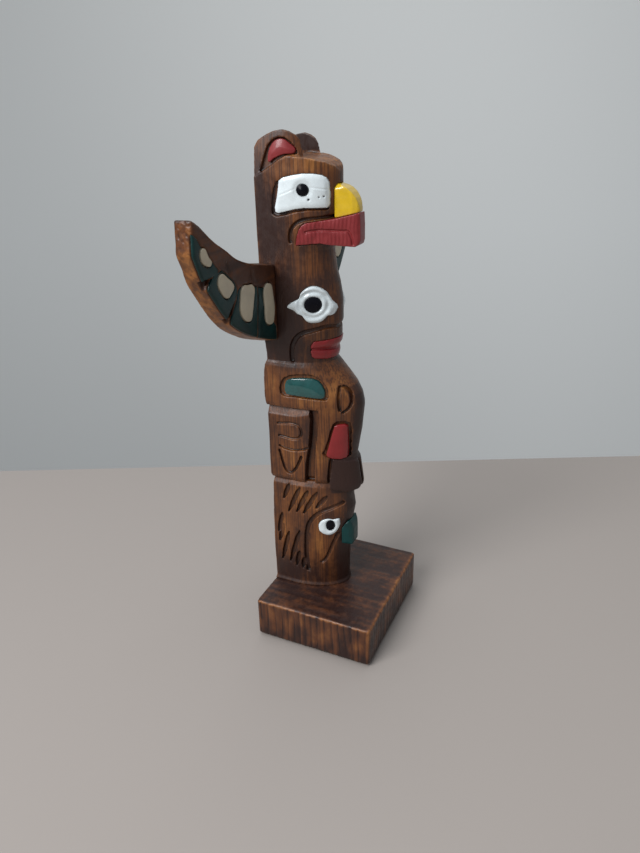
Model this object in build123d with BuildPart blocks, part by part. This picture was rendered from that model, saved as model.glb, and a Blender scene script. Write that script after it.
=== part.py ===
from build123d import *
import os

os.makedirs("parts", exist_ok=True)

# Frame: the figure faces -Y, its right side is -X, +Z is up; origin at the middle of the underside.

# Driving dimensions, mm
base_width = 58.0
base_depth = 50.0
base_top = 18.0
felt_thickness = 1.0
felt_margin = 1.5
edge_wear = 1.4
ear_gap = 7.0  # half the space between the ears
ear_drop = 1.6  # how much lower the left ear was carved than the right one
wing_drop = 3.2  # how much lower the left wing was fixed than the right one
side_start = 16.5  # where the flat sides of the pole turn into its rounded front
seat = 1.2  # depth of the recesses the painted panels are glued into
shallow = 0.8  # depth of the fine grooves
deep = 3.0  # depth of the gap between arm and leg
proud = 0.3  # how far the panels stand above the wood
gap = 0.03  # glue gap round every panel
glue = 0.02  # glue film under every panel
wing_front = 18.0
wing_back = 24.4
wing_root = 12.06
feather_depth = 0.9
feather_ring = 0.35  # open groove left round every cream feather
rim_slant = 1.1  # how much lower the back of the wing reaches than its front
notch_depth = 2.2
dowel_radius = 2.0
dowel_length = 14.0
dowel_heights = (133.0, 147.0)
dowel_y = 21.2
fit = 0.04  # clearance round dowels and screw
beak_dowel_radius = 1.25
beak_dowel_z = 175.0
foot_dowel_radius = 3.0
foot_dowel_y = 17.0
screw_y = 7.0
screw_radius = 2.0
screw_head_radius = 4.0
screw_head_height = 2.4
screw_length = 38.0

# Pole levels: height, half width, front edge, back edge
bottom_levels = [
    (18.0, 12.3, -5.0, 24.7),
    (19.6, 11.5, -4.3, 24.5),
    (30.0, 11.8, -4.6, 24.5),
    (40.0, 12.0, -5.2, 24.4),
    (49.5, 12.0, -6.2, 24.2),
    (55.0, 12.0, -7.2, 24.0),
    (59.5, 12.0, -6.5, 23.8),
    (65.8, 12.0, -6.6, 23.5),
    (68.2, 10.7, -6.0, 23.1),
]
legs_levels = [
    (68.2, 11.6, -7.4, 23.8),
    (69.8, 12.3, -7.6, 24.2),
    (80.0, 12.3, -8.2, 24.1),
    (90.0, 12.4, -10.0, 24.0),
    (99.8, 12.6, -11.0, 24.0),
]
shoulder_levels = [
    (99.8, 12.6, -11.0, 24.2),
    (101.5, 12.9, -11.0, 24.6),
    (105.0, 12.9, -10.2, 24.7),
    (108.6, 12.8, -8.2, 24.7),
    (113.0, 12.7, -4.2, 24.6),
    (116.0, 12.4, -1.4, 24.2),
    (117.5, 11.9, 0.0, 23.6),
]
face_levels = [
    (117.5, 11.5, 0.2, 23.5),
    (120.5, 11.6, -0.5, 23.5),
    (122.6, 11.8, -0.2, 23.6),
    (124.5, 12.0, -1.4, 23.8),
    (127.0, 12.0, -1.8, 24.0),
    (131.0, 12.0, -1.8, 24.2),
    (132.6, 12.0, -2.3, 24.3),
    (140.0, 12.0, -2.3, 24.4),
    (146.0, 12.0, -1.2, 24.4),
    (151.0, 12.0, 0.2, 24.4),
    (158.0, 12.0, 1.0, 24.4),
]
head_levels = [
    (158.0, 12.0, 1.0, 24.4),
    (163.0, 12.0, -0.9, 24.5),
    (170.0, 12.0, -1.8, 24.5),
    (176.0, 12.0, -2.5, 24.5),
    (183.6, 12.0, -2.5, 24.5),
    (190.5, 11.8, -2.0, 24.5),
]
figures = [bottom_levels, legs_levels, shoulder_levels, face_levels, head_levels]
ear_levels = [
    (180.0, 11.9, 5.0, 24.5),
    (184.0, 11.6, 5.2, 24.5),
    (190.0, 10.9, 5.6, 24.5),
    (198.0, 9.6, 7.0, 24.4),
]
foot_levels = [
    (63.0, 12.2, -10.4, 24.0),
    (67.3, 12.4, -10.8, 24.0),
    (76.0, 12.4, -9.5, 24.0),
    (80.0, 12.4, -8.8, 24.0),
]

# Side outlines, given as (y, z)
head_top = [
    (26.0, 150.0), (-30.0, 150.0), (-30.0, 183.6), (-2.5, 183.6), (-1.6, 185.3), (0.9, 186.8),
    (6.0, 188.2), (12.4, 189.0), (15.3, 187.6), (19.0, 185.3), (22.6, 183.2), (26.0, 181.4),
]
ear_outline = [
    (24.4, 181.0), (24.4, 191.8), (23.2, 193.7), (20.1, 195.4), (17.4, 196.4), (15.1, 196.8),
    (12.8, 196.3), (10.5, 195.2), (8.9, 193.5), (8.1, 191.5), (7.7, 189.5), (7.7, 184.0),
]
ear_recess = [
    (22.4, 183.5), (21.2, 187.3), (20.4, 189.7), (19.5, 192.1), (17.8, 193.8), (15.6, 194.6), (13.4, 194.4),
    (11.5, 193.0), (9.9, 190.9), (9.5, 189.3), (12.5, 189.1), (15.4, 187.7), (19.1, 185.4),
]
ear_panel = [
    (19.4, 187.7), (19.1, 190.2), (18.0, 192.5), (16.4, 193.8), (13.7, 193.9),
    (11.8, 192.5), (10.2, 190.6), (10.4, 189.8), (13.0, 189.4), (15.6, 188.7), (17.9, 187.5), (18.9, 186.9),
]
eagle_eye = [
    (15.0, 181.3), (13.7, 182.3), (10.5, 183.0), (7.2, 183.5), (3.9, 183.4), (1.5, 182.9), (0.2, 182.0),
    (-0.4, 180.6), (-0.6, 176.9), (-0.5, 173.6), (0.2, 172.4), (3.2, 172.5), (7.0, 172.6), (10.1, 172.2),
    (12.9, 171.5), (15.6, 170.9), (16.7, 171.3), (16.8, 172.9), (15.9, 176.2), (15.3, 179.2),
]
eagle_eye_cut = [
    (15.0, 181.3), (16.2, 180.9), (17.4, 178.5), (18.2, 174.0), (18.2, 170.6), (16.6, 169.8), (13.3, 170.3),
    (9.7, 171.3), (6.0, 171.8), (0.2, 171.6), (-0.5, 173.5), (3.0, 174.0), (10.0, 174.0), (14.5, 173.0),
]
eagle_pupil = (7.0, 178.4)
eagle_pupil_radius = 1.85
jaw_side = [
    (-10.0, 170.7), (-2.5, 168.9), (2.0, 168.3), (6.6, 167.7), (7.8, 167.0), (8.8, 165.6), (9.5, 163.4),
    (10.1, 160.3), (5.5, 160.6), (2.4, 160.8), (-0.5, 160.2), (-8.6, 159.4), (-9.7, 160.1), (-10.3, 161.6),
    (-10.3, 166.0),
]
jaw_shelf = [
    (11.8, 161.0), (11.9, 163.9), (10.9, 166.5), (9.0, 168.1), (5.6, 169.0), (2.2, 169.3), (-2.6, 169.9),
]
jaw_line = [(7.0, 164.6), (3.9, 165.2), (0.0, 165.2), (-6.4, 164.9)]
jaw_turn = [(-6.4, 164.9), (-7.3, 163.2), (-7.9, 160.0)]
jaw_plan = [(-8.7, 4.2), (-3.2, -9.0), (-2.2, -10.2), (2.2, -10.2), (3.2, -9.0), (8.7, 4.2)]
beak_side = [
    (-1.2, 179.9), (-2.4, 179.9), (-3.8, 179.4), (-5.6, 178.5), (-7.3, 177.1), (-8.6, 175.4), (-9.3, 173.8),
    (-9.7, 172.3), (-9.8, 170.75), (-8.0, 170.3), (-2.5, 169.0), (-1.2, 168.9),
]
beak_plan = [
    (-3.8, -1.2), (-3.7, -2.6), (-3.0, -7.4), (-2.2, -9.1), (-1.2, -9.9), (1.2, -9.9), (2.2, -9.1),
    (3.0, -7.4), (3.7, -2.6), (3.8, -1.2),
]
beak_front = [(-4.2, 165.0), (-4.2, 180.2), (4.2, 180.2), (4.2, 165.0)]
beak_round = 3.7  # radius of the beak's upper corners seen from the front
face_eye = [
    (13.8, 139.0), (12.8, 140.0), (11.0, 141.1), (9.6, 141.9), (8.9, 143.6), (7.7, 145.1), (6.3, 146.0),
    (4.8, 146.3), (3.1, 145.8), (1.6, 144.5), (0.4, 142.7), (-0.5, 140.6), (-1.2, 139.4), (-1.7, 137.9),
    (-1.5, 136.6), (-0.6, 135.5), (0.6, 135.5), (1.5, 134.4), (2.7, 133.4), (4.3, 133.1), (6.1, 133.3),
    (7.5, 134.4), (8.6, 135.9), (10.2, 136.6), (12.1, 137.9),
]
face_pupil = (4.8, 139.8)
face_pupil_radius = 2.7
cheek_line = [
    (-1.8, 130.4), (0.9, 131.3), (3.5, 130.7), (6.5, 129.9), (8.7, 129.2), (10.7, 127.8), (12.3, 125.2),
    (13.1, 121.3), (13.0, 118.0),
]
lips_side = [
    (5.0, 126.1), (-6.0, 126.7), (-6.0, 118.9), (1.4, 118.7), (5.1, 119.4), (6.0, 120.2),
    (6.3, 122.1), (6.0, 124.5),
]
lip_line = [(6.9, 122.8), (4.0, 123.0), (1.3, 122.5), (-3.5, 121.4)]
shoulder_panel = [
    (15.9, 106.8), (15.8, 109.1), (15.0, 111.1), (13.1, 112.0), (10.3, 112.3), (7.5, 112.4), (5.1, 112.2),
    (3.3, 111.4), (2.0, 110.0), (1.0, 108.3), (0.5, 106.8), (0.7, 105.2), (1.8, 104.7), (6.0, 105.0),
    (10.1, 105.3), (13.3, 105.4), (15.2, 105.5),
]
shoulder_cut = [
    (17.9, 105.4), (18.1, 107.9), (17.5, 110.0), (16.1, 111.9), (13.6, 113.1), (10.4, 113.6), (7.6, 113.7),
    (4.9, 113.3), (2.4, 111.8), (0.6, 109.7), (-0.3, 107.7), (-0.7, 105.4), (0.1, 104.0), (5.8, 104.2),
    (11.8, 104.5), (16.6, 104.4),
]
arm_pocket = [
    (20.3, 92.6), (16.5, 93.1), (12.6, 93.2), (10.9, 92.4), (10.1, 90.6), (10.3, 88.6), (11.6, 87.3),
    (15.0, 86.9), (20.0, 87.2),
]
arm_smile = [(19.9, 83.1), (17.4, 82.2), (13.7, 81.9), (10.3, 82.4), (7.2, 83.6)]
arm_loop = [
    (19.9, 81.2), (18.8, 77.0), (17.9, 73.9), (16.9, 72.1), (15.6, 71.6), (14.2, 72.3), (12.8, 74.1),
    (11.4, 77.0),
    (10.3, 79.8),
]
arm_gap = [
    (6.8, 99.8), (6.4, 95.4), (6.8, 89.9), (7.6, 83.3), (8.8, 76.8), (9.4, 68.2), (5.6, 68.2), (5.3, 74.7),
    (5.0, 80.1), (4.4, 85.5), (3.7, 90.2), (3.1, 95.2), (3.1, 99.8),
]
arm_bevel = [(-10.7, 99.8), (-12.4, 96.2), (-14.0, 96.2), (-14.0, 99.8)]
knee_panel = [
    (-2.5, 93.5), (-3.5, 94.1), (-6.0, 94.1), (-6.8, 93.3), (-6.8, 88.4), (-6.5, 83.4), (-6.1, 79.4),
    (-4.2, 78.8),
    (-1.4, 79.3), (0.4, 80.2), (0.8, 81.2), (-0.1, 84.4), (-1.1, 88.5),
]
knee_cut = [
    (2.4, 81.7), (1.4, 83.1), (0.0, 87.6), (-1.0, 91.5), (-2.0, 94.3), (-3.2, 95.3), (-5.9, 95.4),
    (-7.6, 94.5),
    (-8.0, 91.9), (-7.6, 86.1), (-7.1, 79.6), (-4.2, 78.8), (-1.4, 79.2), (0.9, 80.0), (1.6, 80.6),
]
belly_line = [(-4.0, 109.4), (-4.0, 104.6), (-4.5, 99.4)]
belly_arc = [
    (-4.6, 109.1), (-6.3, 108.0), (-7.6, 106.0), (-8.1, 103.7), (-7.8, 101.6), (-6.4, 99.7), (-5.0, 98.8),
]
foot_side = [
    (-1.6, 79.0), (-8.6, 77.2), (-9.4, 76.0), (-10.0, 71.5), (-10.8, 67.3), (-10.0, 64.9), (-7.0, 64.4),
    (-0.4, 66.2), (-0.4, 70.0),
]
heel_line = [(-0.9, 79.4), (-0.2, 74.0), (0.2, 67.8)]
hair_marks = [
    ((16.1, 66.6), (19.6, 57.6)), ((11.2, 66.4), (18.0, 51.2)), ((8.0, 65.1), (14.3, 52.0)),
    ((4.3, 64.7), (11.6, 51.6)), ((0.8, 62.6), (6.2, 55.3)), ((19.8, 52.6), (22.6, 40.3)),
    ((19.5, 47.4), (22.4, 36.0)), ((17.0, 44.6), (21.8, 25.8)), ((12.2, 45.8), (18.2, 25.8)),
    ((12.8, 35.0), (14.8, 25.8)), ((11.0, 32.0), (11.8, 25.3)),
]
brow_line = [
    (-4.6, 58.8), (-2.3, 57.6), (0.2, 56.4), (3.1, 55.0), (5.4, 53.2), (7.0, 51.3), (8.4, 48.8),
    (9.3, 45.4),
    (9.7, 42.0), (9.8, 38.5), (9.9, 34.3), (9.7, 30.1), (9.4, 25.0),
]
lower_eye = [
    (4.5, 47.6), (4.3, 49.3), (3.7, 50.4), (2.4, 51.3), (0.7, 51.6), (-1.3, 51.2), (-2.9, 51.4),
    (-3.1, 49.9),
    (-3.1, 48.5), (-2.7, 46.8), (-1.8, 45.1), (-0.7, 44.2), (0.5, 43.8), (2.2, 44.2), (3.7, 45.3),
    (4.4, 46.5),
]
lower_pupil = (0.0, 48.7)
lower_pupil_size = (1.5, 2.35)
lower_cheek = [(-2.4, 44.3), (-0.5, 39.1), (0.7, 35.6), (2.3, 31.8), (4.2, 29.8)]
nose_side = [
    (-3.7, 46.4), (-5.2, 48.8), (-6.3, 49.4), (-7.2, 47.7), (-7.8, 45.4), (-7.8, 39.0), (-7.2, 37.6),
    (-3.7, 39.2),
]
nose_plan = [
    (-7.2, 0.0), (-5.7, -3.9), (-2.9, -7.3), (-1.6, -8.0), (1.6, -8.0), (2.9, -7.3), (5.7, -3.9),
    (7.2, 0.0),
]

# Wing outline and its painted areas, right wing, given as (x, z)
wing_top = [
    (-25.0, 156.2), (-31.0, 157.9), (-36.7, 160.3), (-41.9, 163.6), (-47.0, 166.6), (-51.6, 169.9),
    (-56.0, 173.5),
]
wing_tip = [(-58.6, 175.2), (-59.4, 174.9), (-59.6, 170.6), (-60.0, 165.2)]
wing_low = [
    (-57.7, 160.2), (-56.4, 156.6), (-53.4, 152.4), (-49.8, 147.7), (-45.8, 142.9), (-43.0, 140.0),
    (-38.2, 136.3), (-32.4, 133.0), (-21.6, 128.4),
]
feathers = [
    [(-55.0, 166.7), (-56.3, 165.9), (-56.5, 164.5), (-55.7, 162.5), (-53.7, 161.2), (-51.6, 160.9),
     (-50.9, 161.8),
     (-52.3, 163.7)],
    [(-46.0, 157.4), (-47.9, 156.6), (-48.5, 155.0), (-47.3, 152.1), (-45.2, 149.8), (-43.4, 149.1),
     (-41.2, 150.1),
     (-39.5, 152.0), (-40.7, 153.9), (-43.4, 155.9)],
    [(-33.8, 150.9), (-35.3, 149.8), (-36.2, 146.8), (-36.7, 143.6), (-35.7, 141.1), (-32.4, 138.5),
     (-30.2, 138.5),
     (-29.2, 140.2), (-28.3, 142.8), (-27.2, 146.4), (-26.9, 148.8), (-28.0, 150.1), (-30.7, 150.5)],
    [(-17.2, 148.2), (-19.4, 147.8), (-20.6, 146.3), (-20.6, 140.6), (-20.0, 135.0), (-17.8, 133.5),
     (-15.3, 133.6),
     (-14.2, 135.6), (-13.6, 138.9), (-14.2, 143.0), (-14.6, 145.4), (-15.4, 147.3)],
]
# Green ground of each feather, running past the lower edge of the wing, where the wing outline trims it
grounds = [
    [(-62.0, 172.4), (-59.7, 171.6), (-57.5, 169.9), (-55.9, 167.6), (-53.2, 164.6), (-50.3, 161.6),
     (-47.6, 158.9),
     (-47.8, 158.3), (-51.4, 157.4), (-55.2, 156.9), (-59.0, 153.0)],
    [(-56.0, 150.6), (-53.4, 155.0), (-51.2, 156.9), (-48.4, 157.9), (-45.5, 158.3), (-42.0, 156.0),
     (-38.6, 153.0),
     (-37.6, 151.0), (-37.9, 149.1), (-41.6, 145.0), (-44.2, 142.5), (-47.4, 137.6)],
    [(-43.6, 137.6), (-42.2, 142.0), (-40.5, 144.1), (-38.0, 147.7), (-37.0, 150.3), (-35.4, 150.9),
     (-26.6, 149.2),
     (-24.9, 148.5), (-24.7, 146.0), (-26.6, 131.6), (-27.0, 127.6)],
    [(-26.4, 126.0), (-26.0, 131.6), (-24.1, 146.0), (-24.3, 148.3), (-21.8, 147.7), (-19.6, 147.2),
     (-15.0, 134.4),
     (-12.8, 131.6), (-12.8, 122.0)],
]
notches = [
    [(-57.8, 154.2), (-55.6, 157.3), (-50.7, 157.3), (-53.1, 155.3), (-54.6, 151.0)],
    [(-45.5, 139.0), (-44.4, 142.8), (-38.3, 148.4), (-42.0, 142.4), (-42.3, 138.2)],
]
feather_marks = [((-40.6, 154.8), (-43.2, 161.6)), ((-26.6, 149.8), (-28.6, 156.4))]


def column(levels, grow):
    """D-shaped column, flat at the back and elliptical in front, grown outward except at the back."""
    with BuildPart() as body:
        for z, half, front, back in levels:
            with BuildSketch(Plane.XY.offset(z)):
                with BuildLine():
                    side = half + grow
                    Polyline((side, side_start), (side, back), (-side, back), (-side, side_start))
                    reach = side_start - front + grow
                    EllipticalCenterArc((0, side_start), side, reach, start_angle=180, arc_size=180)
                make_face()
        loft(ruled=True)
    return body.part


def trunk(grow):
    """All the figures of the pole one above the other."""
    with BuildPart() as body:
        for levels in figures:
            add(column(levels, grow))
    return body.part


def closed_curve(points):
    with BuildLine() as curve:
        Spline(*points, periodic=True)
    make_face(curve.edges())


def closed_polygon(points):
    with BuildLine() as curve:
        Polyline(*points, close=True)
    make_face(curve.edges())


def drawn_in(points, amount):
    """The outline drawn in toward its middle."""
    middle = sum((Vector(*point) for point in points), Vector()) / len(points)
    return [Vector(*point) + (middle - Vector(*point)).normalized() * amount for point in points]


def groove(points, width):
    with BuildLine() as path:
        Spline(*points)
    trace(path.edges(), line_width=width)


def gouge(start, end, width):
    """One gouge cut, wide in the middle and running out to a point at both ends."""
    across = (Vector(*end) - Vector(*start)).normalized().rotate(Axis.Z, 90) * (width / 2)
    upper = Vector(*start) * 0.78 + Vector(*end) * 0.22
    lower = Vector(*start) * 0.4 + Vector(*end) * 0.6
    closed_polygon([start, upper + across, lower + across, end, lower - across, upper - across])


core_seat = trunk(-seat)
core_panel = trunk(-seat + glue)
core_shallow = trunk(-shallow)
core_deep = trunk(-deep)
skin = trunk(proud)

# Recesses that hold the panels and the broad carved cuts, right side and then mirrored
with BuildPart() as seat_cuts:
    with BuildSketch(Plane.YZ):
        closed_polygon(eagle_eye)
        closed_polygon(eagle_eye_cut)
        closed_curve(face_eye)
        closed_polygon(shoulder_cut)
        closed_polygon(knee_cut)
        closed_curve(lower_eye)
        groove(cheek_line, 1.7)
        groove(brow_line, 1.7)
        groove(jaw_shelf, 1.2)
        groove(arm_smile, 1.0)
        groove(arm_loop, 1.1)
        groove(belly_line, 1.0)
        groove(belly_arc, 1.0)
        groove(heel_line, 1.2)
        for start, end in hair_marks:
            gouge(start, end, 1.8)
        closed_polygon(jaw_side)
    extrude(amount=-20)
    add(core_seat, mode=Mode.SUBTRACT)
    mirror(about=Plane.YZ)

# Finer grooves
with BuildPart() as shallow_cuts:
    with BuildSketch(Plane.YZ):
        groove(arm_pocket, 1.0)
        groove(lower_cheek, 1.2)
    extrude(amount=-20)
    add(core_shallow, mode=Mode.SUBTRACT)
    mirror(about=Plane.YZ)

with BuildPart() as deep_cuts:
    with BuildSketch(Plane.YZ):
        closed_polygon(arm_gap)
    extrude(amount=-20)
    add(core_deep, mode=Mode.SUBTRACT)
    # Slope along the top of the forearm, behind the gap
    with BuildSketch(Plane.XZ.offset(-26)):
        closed_polygon(arm_bevel)
    extrude(amount=20)
    mirror(about=Plane.YZ)

# Seats that wrap round the front of the pole
with BuildPart() as lips_seat:
    with BuildSketch(Plane.YZ):
        closed_polygon(lips_side)
    extrude(amount=20, both=True)
    add(core_seat, mode=Mode.SUBTRACT)


def beak_blank(inset):
    """Block between the beak's side, plan and front outlines."""
    with BuildPart() as blank:
        with BuildSketch(Plane.YZ):
            closed_polygon(beak_side)
            if inset:
                offset(amount=-inset, mode=Mode.REPLACE)
        extrude(amount=12, both=True)
        with BuildSketch(Plane.XY.offset(160)):
            closed_polygon(beak_plan)
            if inset:
                offset(amount=-inset, mode=Mode.REPLACE)
        extrude(amount=30, mode=Mode.INTERSECT)
        with BuildSketch(Plane.XZ.offset(15)):
            with BuildLine() as arch:
                FilletPolyline(*beak_front, radius=beak_round)
                Line(beak_front[-1], beak_front[0])
            make_face(arch.edges())
            if inset:
                offset(amount=-inset, mode=Mode.REPLACE)
        extrude(amount=-30, mode=Mode.INTERSECT)
        add(core_panel if inset else core_seat, mode=Mode.SUBTRACT)
    return blank.part


def nose_blank(inset):
    """Block between the nose's side and plan outlines."""
    with BuildPart() as blank:
        with BuildSketch(Plane.YZ):
            closed_polygon(nose_side)
            if inset:
                offset(amount=-inset, mode=Mode.REPLACE)
        extrude(amount=12, both=True)
        with BuildSketch(Plane.XY.offset(30)):
            closed_polygon(nose_plan)
            if inset:
                offset(amount=-inset, mode=Mode.REPLACE)
        extrude(amount=30, mode=Mode.INTERSECT)
        add(core_panel if inset else core_seat, mode=Mode.SUBTRACT)
    return blank.part


def jaw_blank(inset):
    """The head with the wedge of the jaw in front, all its surfaces moved in by inset."""
    with BuildPart() as blank:
        add(trunk(proud - inset))
        with BuildSketch(Plane.XY.offset(150)):
            closed_polygon(jaw_plan)
            if inset:
                offset(amount=-inset, mode=Mode.REPLACE)
        extrude(amount=30)
    return blank.part


def both_sides(right, drop):
    """A right-hand shape together with its mirror image, the latter lowered by drop."""
    with BuildPart() as pair:
        add(right)
        with Locations((0, 0, -drop)):
            add(mirror(right, about=Plane.YZ, mode=Mode.PRIVATE))
    return pair.part


# Right ear, standing clear of the middle of the head
with BuildPart() as ear:
    add(column(ear_levels, 0))
    with BuildSketch(Plane.YZ.offset(-ear_gap)):
        closed_polygon(ear_outline)
    extrude(amount=-12, mode=Mode.INTERSECT)

ear_core = column(ear_levels, -seat)
ear_core_panel = column(ear_levels, -seat + glue)

with BuildPart() as ear_cut:
    with BuildSketch(Plane.YZ):
        closed_polygon(ear_recess)
    extrude(amount=-20)
    add(ear_core, mode=Mode.SUBTRACT)

ears = both_sides(ear.part, ear_drop)
ear_cuts = both_sides(ear_cut.part, ear_drop)

# Feet at the front of the middle figure
with BuildPart() as feet:
    add(column(foot_levels, 0))
    with BuildSketch(Plane.YZ):
        closed_polygon(foot_side)
    extrude(amount=14, both=True, mode=Mode.INTERSECT)
    with BuildSketch(Plane.XY.offset(60)):
        with Locations((0, -10.5)):
            Rectangle(1.4, 4)
    extrude(amount=25, mode=Mode.SUBTRACT)

with BuildPart() as pole:
    add(trunk(0))
    with BuildSketch(Plane.YZ):
        closed_polygon(head_top)
        with Locations((0, 80)):
            Rectangle(80, 142)
    extrude(amount=20, both=True, mode=Mode.INTERSECT)
    add(ears)
    add(feet)
    for cuts in (seat_cuts, shallow_cuts, deep_cuts, lips_seat, beak_blank(0), nose_blank(0), ear_cuts):
        add(cuts, mode=Mode.SUBTRACT)
    # Blind holes for the wing dowels, both sides
    for side, drop in ((-1, 0), (1, wing_drop)):
        with BuildSketch(Plane.YZ.offset(side * (wing_root - dowel_length / 2 - 0.3))):
            with Locations(*[(dowel_y, z - drop) for z in dowel_heights]):
                Circle(dowel_radius + fit)
        extrude(amount=side * 10, mode=Mode.SUBTRACT)
    # Hole for the beak dowel
    with BuildSketch(Plane.XZ.offset(-4.3)):
        with Locations((0, beak_dowel_z)):
            Circle(beak_dowel_radius + fit)
    extrude(amount=8, mode=Mode.SUBTRACT)
    # Blind holes in the foot of the pole for the locating dowel and the screw
    with BuildSketch(Plane.XY.offset(base_top)):
        with Locations((0, foot_dowel_y)):
            Circle(foot_dowel_radius + fit)
    extrude(amount=10.3, mode=Mode.SUBTRACT)
    with BuildSketch(Plane.XY.offset(base_top)):
        with Locations((0, screw_y)):
            Circle(screw_radius + fit)
    extrude(amount=screw_length - base_top + felt_thickness + 1.5, mode=Mode.SUBTRACT)
pole.part.label = "pole"
export_step(pole.part, "parts/pole.step")


def side_panel(points, curved, core, cover):
    """Painted panel for the right side: its outline cut out of the layer between core and cover."""
    with BuildPart() as panel:
        with BuildSketch(Plane.YZ):
            if curved:
                closed_curve(drawn_in(points, gap))
            else:
                closed_polygon(points)
                offset(amount=-gap, mode=Mode.REPLACE)
        extrude(amount=-20)
        add(cover, mode=Mode.INTERSECT)
        add(core, mode=Mode.SUBTRACT)
    return panel.part


def write_pair(name, right, drop=0):
    """Write the right-hand piece and its mirror image, the latter lowered by drop."""
    with BuildPart() as left:
        with Locations((0, 0, -drop)):
            add(mirror(right, about=Plane.YZ, mode=Mode.PRIVATE))
    right.label = name + "_right"
    export_step(right, "parts/" + name + "_right.step")
    left.part.label = name + "_left"
    export_step(left.part, "parts/" + name + "_left.step")


def pupil_hole(panel, centre, size):
    """The panel with a hole for its pupil."""
    with BuildPart() as eye:
        add(panel)
        with BuildSketch(Plane.YZ):
            with Locations(centre):
                Ellipse(size[0] + gap, size[1] + gap)
        extrude(amount=-20, mode=Mode.SUBTRACT)
    return eye.part


def pupils(name, centre, size, dome):
    """Both pupils, standing through the eye panels on the wood."""
    with BuildPart() as pair:
        with BuildSketch(Plane.YZ):
            with Locations(centre):
                Ellipse(size[0], size[1])
        extrude(amount=-20)
        add(dome, mode=Mode.INTERSECT)
        add(core_panel, mode=Mode.SUBTRACT)
        mirror(about=Plane.YZ)
    pair.part.label = name
    export_step(pair.part, "parts/" + name + ".step")


eagle_size = (eagle_pupil_radius, eagle_pupil_radius)
face_size = (face_pupil_radius, face_pupil_radius)
pupil_skin = trunk(proud + 0.5)
ear_red = side_panel(ear_panel, True, ear_core_panel, column(ear_levels, -0.2))
write_pair("ear_panel", ear_red, ear_drop)
write_pair("eagle_eye", pupil_hole(side_panel(eagle_eye, False, core_panel, skin), eagle_pupil, eagle_size))
write_pair("face_eye", pupil_hole(side_panel(face_eye, True, core_panel, skin), face_pupil, face_size))
lower_white = side_panel(lower_eye, True, core_panel, skin)
write_pair("lower_eye", pupil_hole(lower_white, lower_pupil, lower_pupil_size))
write_pair("shoulder_panel", side_panel(shoulder_panel, False, core_panel, skin))
write_pair("knee_panel", side_panel(knee_panel, False, core_panel, skin))
pupils("eagle_pupils", eagle_pupil, eagle_size, pupil_skin)
pupils("face_pupils", face_pupil, face_size, pupil_skin)
pupils("lower_pupils", lower_pupil, lower_pupil_size, pupil_skin)

with BuildPart() as lip_cut:
    with BuildSketch(Plane.YZ):
        groove(lip_line, 0.8)
    extrude(amount=20, both=True)
    add(trunk(-seat / 3), mode=Mode.SUBTRACT)

with BuildPart() as lips:
    with BuildSketch(Plane.YZ):
        closed_polygon(lips_side)
        offset(amount=-gap, mode=Mode.REPLACE)
    extrude(amount=20, both=True)
    add(skin, mode=Mode.INTERSECT)
    add(core_panel, mode=Mode.SUBTRACT)
    add(lip_cut, mode=Mode.SUBTRACT)
lips.part.label = "lips"
export_step(lips.part, "parts/lips.step")

with BuildPart() as jaw_cut:
    with BuildSketch(Plane.YZ):
        groove(jaw_line, 0.7)
        groove(jaw_turn, 0.7)
    extrude(amount=20, both=True)
    add(jaw_blank(0.5), mode=Mode.SUBTRACT)

# Jaw: a red band let into both sides of the head and drawn out to a wedge under the beak
with BuildPart() as jaw:
    add(jaw_blank(0))
    with BuildSketch(Plane.YZ):
        closed_polygon(jaw_side)
        offset(amount=-gap, mode=Mode.REPLACE)
    extrude(amount=20, both=True, mode=Mode.INTERSECT)
    add(core_panel, mode=Mode.SUBTRACT)
    add(jaw_cut, mode=Mode.SUBTRACT)
jaw.part.label = "jaw"
export_step(jaw.part, "parts/jaw.step")

with BuildPart() as beak:
    add(beak_blank(gap))
    add(jaw, mode=Mode.SUBTRACT)
    with BuildSketch(Plane.XZ.offset(-4.3)):
        with Locations((0, beak_dowel_z)):
            Circle(beak_dowel_radius + fit)
    extrude(amount=10.5, mode=Mode.SUBTRACT)
beak.part.label = "beak"
export_step(beak.part, "parts/beak.step")

with BuildPart() as beak_dowel:
    with BuildSketch(Plane.XZ.offset(-4.0)):
        with Locations((0, beak_dowel_z)):
            Circle(beak_dowel_radius)
    extrude(amount=10)
    chamfer(beak_dowel.edges().filter_by(GeomType.CIRCLE), 0.3)
beak_dowel.part.label = "beak_dowel"
export_step(beak_dowel.part, "parts/beak_dowel.step")

with BuildPart() as nose:
    add(nose_blank(gap))
nose.part.label = "nose"
export_step(nose.part, "parts/nose.step")


def wing_outline(lift):
    """Wing outline with its lower edge raised by lift everywhere but at the tip."""
    lower = [wing_low[0]] + [(x, z + lift) for x, z in wing_low[1:]]
    with BuildLine() as edge:
        Spline((-wing_root, 153.6), *wing_top)
        Polyline(wing_top[-1], *wing_tip, wing_low[0])
        Spline(*lower, (-wing_root, 125.2 + lift))
        Line((-wing_root, 125.2 + lift), (-wing_root, 153.6))
    make_face(edge.edges())


with BuildPart() as wing_board:
    with BuildSketch(Plane.XZ.offset(-wing_back)):
        wing_outline(0)
    with BuildSketch(Plane.XZ.offset(-wing_front)):
        wing_outline(rim_slant)
    loft(ruled=True)
    chamfer(wing_board.faces().sort_by(Axis.Y)[0].edges().filter_by(Axis.Z, reverse=True), 0.4)

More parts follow.
